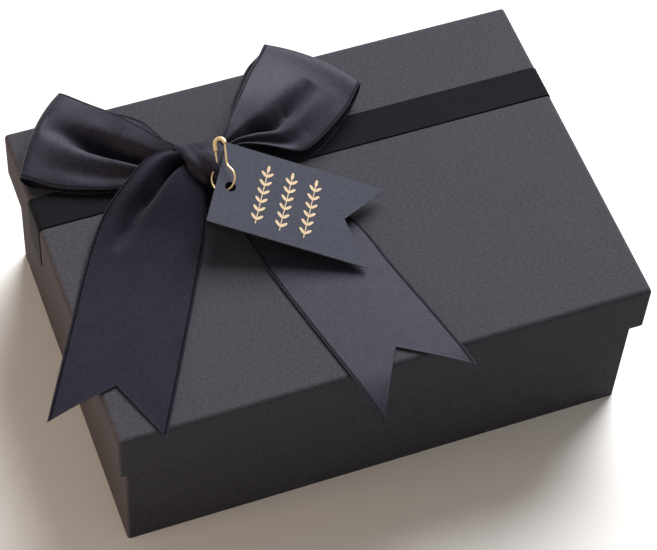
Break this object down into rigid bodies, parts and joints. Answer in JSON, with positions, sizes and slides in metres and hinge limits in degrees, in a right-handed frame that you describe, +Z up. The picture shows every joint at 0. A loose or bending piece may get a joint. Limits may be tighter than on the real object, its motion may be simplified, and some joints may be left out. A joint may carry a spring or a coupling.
{
  "type": "gift box",
  "caption": "Rectangular rigid-board gift box with a lift-off lid, a narrow satin band, a wide satin bow and a swallowtail tag hung from a bulb pin.",
  "frame": {"origin": "centre of the tray's underside, on the surface it stands on", "axes": "+X along the long side, +Y towards the side where the narrow band runs, +Z up through the lid"},
  "size_m": [0.2195, 0.1686, 0.0968],
  "materials": {
    "board": "plain grey board",
    "stay_paper": "kraft stay paper",
    "wrap_paper": "matt fine-grained paper",
    "liner_paper": "matt paper",
    "narrow_satin": "satin",
    "tape": "paper tape",
    "wide_satin": "satin",
    "tag_card": "matt card",
    "gold_foil": "bright foil",
    "gold_wire": "polished"
  },
  "bodies": {
    "base": {"base_floor_board": "board", "base_front_board": "board", "base_back_board": "board", "base_left_board": "board", "base_right_board": "board", "base_corner_stays": "stay_paper", "base_side_wrap": "wrap_paper", "base_bottom_sheet": "wrap_paper", "base_floor_liner": "liner_paper", "base_side_liner": "liner_paper"},
    "lid": {"lid_top_board": "board", "lid_front_board": "board", "lid_back_board": "board", "lid_left_board": "board", "lid_right_board": "board", "lid_corner_stays": "stay_paper", "lid_wrap": "wrap_paper", "lid_liner": "liner_paper", "ribbon_band": "narrow_satin", "ribbon_band_tapes": "tape", "bow_knot": "wide_satin", "bow_left_loop": "wide_satin", "bow_right_loop": "wide_satin", "bow_left_tail": "wide_satin", "bow_right_tail": "wide_satin"},
    "pin_needle": {"pin_needle": "gold_wire"},
    "pin_arm": {"pin_arm": "gold_wire", "pin_head_cap": "gold_wire"},
    "tag": {"tag_card": "tag_card", "tag_foil_print": "gold_foil"}
  },
  "joints": [
    {"name": "lid_lift", "type": "slide", "parent": "base", "child": "lid", "axis": [0, 0, 1], "range_m": [0, 0.12]},
    {"name": "pin_flip", "type": "hinge", "parent": "lid", "child": "pin_needle", "pos_m": [-0.03419, 0.02039, 0.0909], "axis": [-0.1898, -0.8803, -0.4349], "range_deg": [0, 25]},
    {"name": "pin_open", "type": "hinge", "parent": "pin_needle", "child": "pin_arm", "pos_m": [-0.0346, 0.0104, 0.0873], "axis": [0.784, -0.4025, 0.4726], "range_deg": [0, 18]},
    {"name": "tag_swing", "type": "hinge", "parent": "pin_needle", "child": "tag", "pos_m": [-0.0329, 0.0104, 0.0886], "axis": [-0.1385, 0.1545, -0.9782], "range_deg": [0, 20]}
  ]
}
